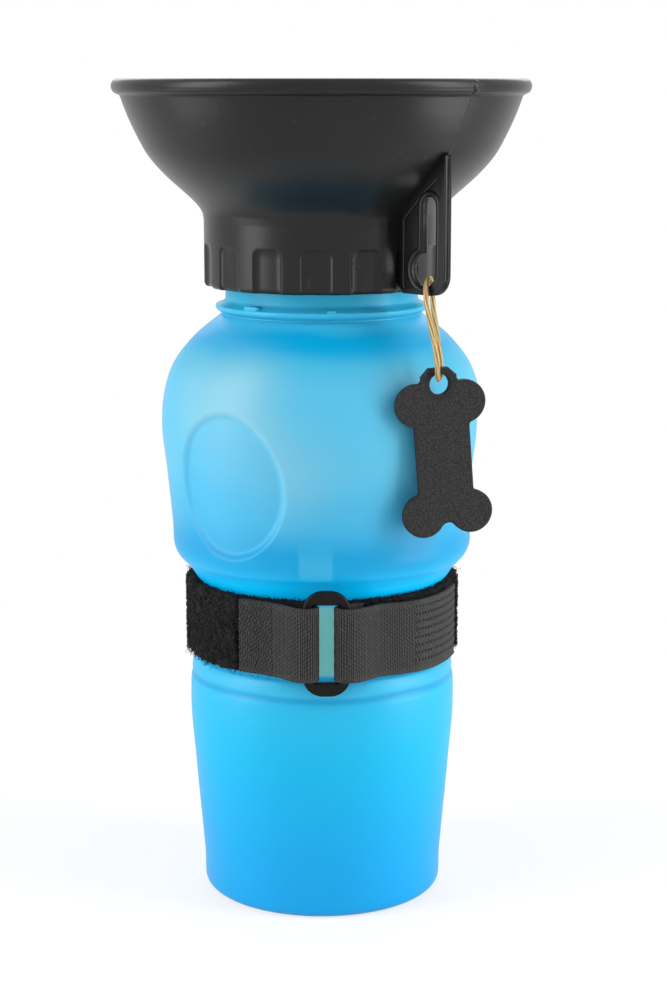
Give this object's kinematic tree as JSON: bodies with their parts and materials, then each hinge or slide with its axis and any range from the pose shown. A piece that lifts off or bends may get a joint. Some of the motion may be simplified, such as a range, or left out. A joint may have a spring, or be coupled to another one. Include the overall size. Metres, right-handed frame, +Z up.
{
  "type": "dog travel water bottle",
  "caption": "Waisted squeeze bottle with a screwed-on flared drinking bowl, a hanging fin with a keyhole, a bone-shaped tag on a cord and a hook-and-loop strap on a ring.",
  "frame": {"origin": "middle of the base, on the bottle's axis, at the surface it stands on", "axes": "+Z up along the bottle's axis, -Y towards the viewer of the picture, +X to the viewer's right"},
  "size_m": [0.105, 0.105, 0.21],
  "materials": {
    "bottle": "frosted, translucent bright blue",
    "bowl": "satin charcoal black, fine moulded grain",
    "seal": "soft translucent white",
    "tube": "clear to milky",
    "pile": "matt black loop pile",
    "tape": "woven black tape, slight sheen",
    "hooks": "black hook tape",
    "ring": "satin black",
    "cord": "golden elastic cord",
    "tag": "matt black with leather-like grain"
  },
  "bodies": {
    "bottle": {"bottle": "bottle"},
    "seal": {"seal_ring": "seal"},
    "tube": {"dip_tube": "tube"},
    "bowl": {"bowl": "bowl", "flow_cap": "bowl", "cord_knot": "cord"},
    "cord": {"tag_cord": "cord"},
    "tag": {"bone_tag": "tag"},
    "strap": {"strap_band": "pile", "strap_fold": "tape", "strap_ring": "ring"},
    "tail": {"strap_tail": "tape", "hook_patch": "hooks"}
  },
  "joints": [
    {"name": "bowl_lift_off", "type": "slide", "parent": "bottle", "child": "seal", "axis": [0, 0, 1], "range_m": [0, 0.17]},
    {"name": "thread_rise", "type": "slide", "parent": "seal", "child": "tube", "axis": [0, 0, 1], "range_m": [0, 0.0045]},
    {"name": "bowl_turn", "type": "hinge", "parent": "tube", "child": "bowl", "pos_m": [0, 0, 0.165], "axis": [0, 0, 1], "range_deg": [0, 540]},
    {"name": "cord_swing", "type": "hinge", "parent": "bowl", "child": "cord", "pos_m": [0.0261, -0.0289, 0.1596], "axis": [0.454, -0.891, 0], "range_deg": [-70, 70], "deforming": ["tag_cord"]},
    {"name": "tag_swing", "type": "hinge", "parent": "cord", "child": "tag", "pos_m": [0.02825, -0.036, 0.139], "axis": [-0.9703, -0.2419, 0], "range_deg": [-3, 110]},
    {"name": "strap_turn", "type": "hinge", "parent": "bottle", "child": "strap", "pos_m": [0, 0, 0.074], "axis": [0, 0, 1], "continuous": true},
    {"name": "tab_peel", "type": "hinge", "parent": "strap", "child": "tail", "pos_m": [-0.00338, -0.03779, 0.074], "axis": [0, 0, 1], "range_deg": [0, 110]}
  ],
  "couplings": [
    {"joint": "thread_rise", "follows": "bowl_turn", "m_per_rad": 0.000477}
  ]
}
